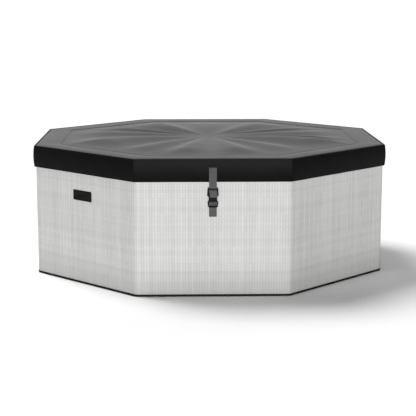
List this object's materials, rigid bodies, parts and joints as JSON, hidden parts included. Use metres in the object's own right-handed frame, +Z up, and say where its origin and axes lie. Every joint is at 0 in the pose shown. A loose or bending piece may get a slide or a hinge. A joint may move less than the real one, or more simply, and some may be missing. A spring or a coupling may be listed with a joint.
{
  "type": "hot tub",
  "caption": "Octagonal hot tub: flat woven-look walls, a dark stitched lid with a hanging skirt and side-release buckles, and heating and bubble equipment behind a hatch in the wall.",
  "frame": {"origin": "centre of the underside, where the tub rests on the ground", "axes": "+Z up; -Y is the front side; the equipment hatch is on the +Y side and the drain on the +X side"},
  "size_m": [1.8693, 1.8688, 0.6865],
  "materials": {
    "woven_vinyl": "satin",
    "lid_vinyl": "satin",
    "base_vinyl": "satin",
    "liner_vinyl": "satin",
    "foam": "matte",
    "insert_film": "satin",
    "webbing": "matte",
    "black_plastic": "satin",
    "grey_plastic": "satin",
    "filter_paper": "matte",
    "steel": "satin",
    "hose_rubber": "matte"
  },
  "bodies": {
    "tub": {"ground_sheet": "base_vinyl", "outer_jacket": "woven_vinyl", "foam_panel_front": "foam", "foam_panel_front_right": "foam", "foam_panel_right": "foam", "foam_panel_back_right": "foam", "foam_panel_back": "foam", "foam_panel_back_left": "foam", "foam_panel_left": "foam", "foam_panel_front_left": "foam", "floor_pad": "foam", "liner": "liner_vinyl", "bubble_channel": "liner_vinyl", "blank_patch": "black_plastic", "lower_strap_front": "webbing", "lower_strap_right": "webbing", "lower_strap_back": "webbing", "lower_strap_left": "webbing", "buckle_socket_front": "black_plastic", "buckle_socket_right": "black_plastic", "buckle_socket_back": "black_plastic", "buckle_socket_left": "black_plastic", "drain_valve": "grey_plastic", "filter_housing": "grey_plastic", "filter_cartridge": "filter_paper", "return_nozzle": "grey_plastic", "control_panel": "black_plastic", "pump_housing": "grey_plastic", "heater_tube": "steel", "blower_housing": "black_plastic", "air_hose": "hose_rubber"},
    "lid": {"lid_top": "lid_vinyl", "lid_skirt": "lid_vinyl", "lid_air_insert": "insert_film", "upper_strap_front": "webbing", "upper_strap_right": "webbing", "upper_strap_back": "webbing", "upper_strap_left": "webbing", "buckle_plug_front": "black_plastic", "buckle_plug_right": "black_plastic", "buckle_plug_back": "black_plastic", "buckle_plug_left": "black_plastic"},
    "latch_arm_left_front": {"latch_arm_left_front": "black_plastic"},
    "latch_arm_right_front": {"latch_arm_right_front": "black_plastic"},
    "latch_arm_left_right": {"latch_arm_left_right": "black_plastic"},
    "latch_arm_right_right": {"latch_arm_right_right": "black_plastic"},
    "latch_arm_left_back": {"latch_arm_left_back": "black_plastic"},
    "latch_arm_right_back": {"latch_arm_right_back": "black_plastic"},
    "latch_arm_left_left": {"latch_arm_left_left": "black_plastic"},
    "latch_arm_right_left": {"latch_arm_right_left": "black_plastic"},
    "drain_cap": {"drain_cap": "black_plastic"},
    "filter_cap": {"filter_cap": "grey_plastic"},
    "key_power": {"key_power": "grey_plastic"},
    "key_heat": {"key_heat": "grey_plastic"},
    "key_bubbles": {"key_bubbles": "grey_plastic"},
    "key_temperature": {"key_temperature": "grey_plastic"},
    "hatch": {"equipment_hatch": "black_plastic", "power_gland": "black_plastic"},
    "impeller": {"pump_impeller": "black_plastic"},
    "fan": {"blower_fan": "grey_plastic"}
  },
  "joints": [
    {"name": "lid_lift", "type": "slide", "parent": "tub", "child": "lid", "axis": [0, 0, 1], "range_m": [0, 0.32]},
    {"name": "latch_left_front", "type": "hinge", "parent": "lid", "child": "latch_arm_left_front", "pos_m": [-0.0155, -0.9252, 0.5225], "axis": [0, -1, 0], "range_deg": [0, 14], "stiffness_Nm_per_rad": 0.3},
    {"name": "latch_right_front", "type": "hinge", "parent": "lid", "child": "latch_arm_right_front", "pos_m": [0.0155, -0.9252, 0.5225], "axis": [0, 1, 0], "range_deg": [0, 14], "stiffness_Nm_per_rad": 0.3},
    {"name": "latch_left_right", "type": "hinge", "parent": "lid", "child": "latch_arm_left_right", "pos_m": [0.9252, -0.0155, 0.5225], "axis": [1, 0, 0], "range_deg": [0, 14], "stiffness_Nm_per_rad": 0.3},
    {"name": "latch_right_right", "type": "hinge", "parent": "lid", "child": "latch_arm_right_right", "pos_m": [0.9252, 0.0155, 0.5225], "axis": [-1, 0, 0], "range_deg": [0, 14], "stiffness_Nm_per_rad": 0.3},
    {"name": "latch_left_back", "type": "hinge", "parent": "lid", "child": "latch_arm_left_back", "pos_m": [0.0155, 0.9252, 0.5225], "axis": [0, 1, 0], "range_deg": [0, 14], "stiffness_Nm_per_rad": 0.3},
    {"name": "latch_right_back", "type": "hinge", "parent": "lid", "child": "latch_arm_right_back", "pos_m": [-0.0155, 0.9252, 0.5225], "axis": [0, -1, 0], "range_deg": [0, 14], "stiffness_Nm_per_rad": 0.3},
    {"name": "latch_left_left", "type": "hinge", "parent": "lid", "child": "latch_arm_left_left", "pos_m": [-0.9252, 0.0155, 0.5225], "axis": [-1, 0, 0], "range_deg": [0, 14], "stiffness_Nm_per_rad": 0.3},
    {"name": "latch_right_left", "type": "hinge", "parent": "lid", "child": "latch_arm_right_left", "pos_m": [-0.9252, -0.0155, 0.5225], "axis": [1, 0, 0], "range_deg": [0, 14], "stiffness_Nm_per_rad": 0.3},
    {"name": "drain_cap_turn", "type": "hinge", "parent": "tub", "child": "drain_cap", "pos_m": [0.93, 0.15, 0.053], "axis": [1, 0, 0], "range_deg": [0, 360]},
    {"name": "filter_cap_turn", "type": "hinge", "parent": "tub", "child": "filter_cap", "pos_m": [-0.125, 0.7, 0.205], "axis": [0, -1, 0], "range_deg": [0, 45]},
    {"name": "press_power", "type": "slide", "parent": "tub", "child": "key_power", "axis": [0, 0, -1], "range_m": [0, 0.0008], "stiffness_N_per_m": 400},
    {"name": "press_heat", "type": "slide", "parent": "tub", "child": "key_heat", "axis": [0, 0, -1], "range_m": [0, 0.0008], "stiffness_N_per_m": 400},
    {"name": "press_bubbles", "type": "slide", "parent": "tub", "child": "key_bubbles", "axis": [0, 0, -1], "range_m": [0, 0.0008], "stiffness_N_per_m": 400},
    {"name": "press_temperature", "type": "slide", "parent": "tub", "child": "key_temperature", "axis": [0, 0, -1], "range_m": [0, 0.0008], "stiffness_N_per_m": 400},
    {"name": "hatch_pull", "type": "slide", "parent": "tub", "child": "hatch", "axis": [0, 1, 0], "range_m": [0, 0.12]},
    {"name": "impeller_spin", "type": "hinge", "parent": "tub", "child": "impeller", "pos_m": [-0.125, 0.8275, 0.205], "axis": [0, 1, 0], "continuous": true},
    {"name": "fan_spin", "type": "hinge", "parent": "tub", "child": "fan", "pos_m": [0.14, 0.845, 0.195], "axis": [0, 1, 0], "continuous": true}
  ],
  "couplings": [
    {"joint": "latch_right_front", "follows": "latch_left_front", "ratio": 1},
    {"joint": "latch_right_right", "follows": "latch_left_right", "ratio": 1},
    {"joint": "latch_right_back", "follows": "latch_left_back", "ratio": 1},
    {"joint": "latch_right_left", "follows": "latch_left_left", "ratio": 1}
  ]
}
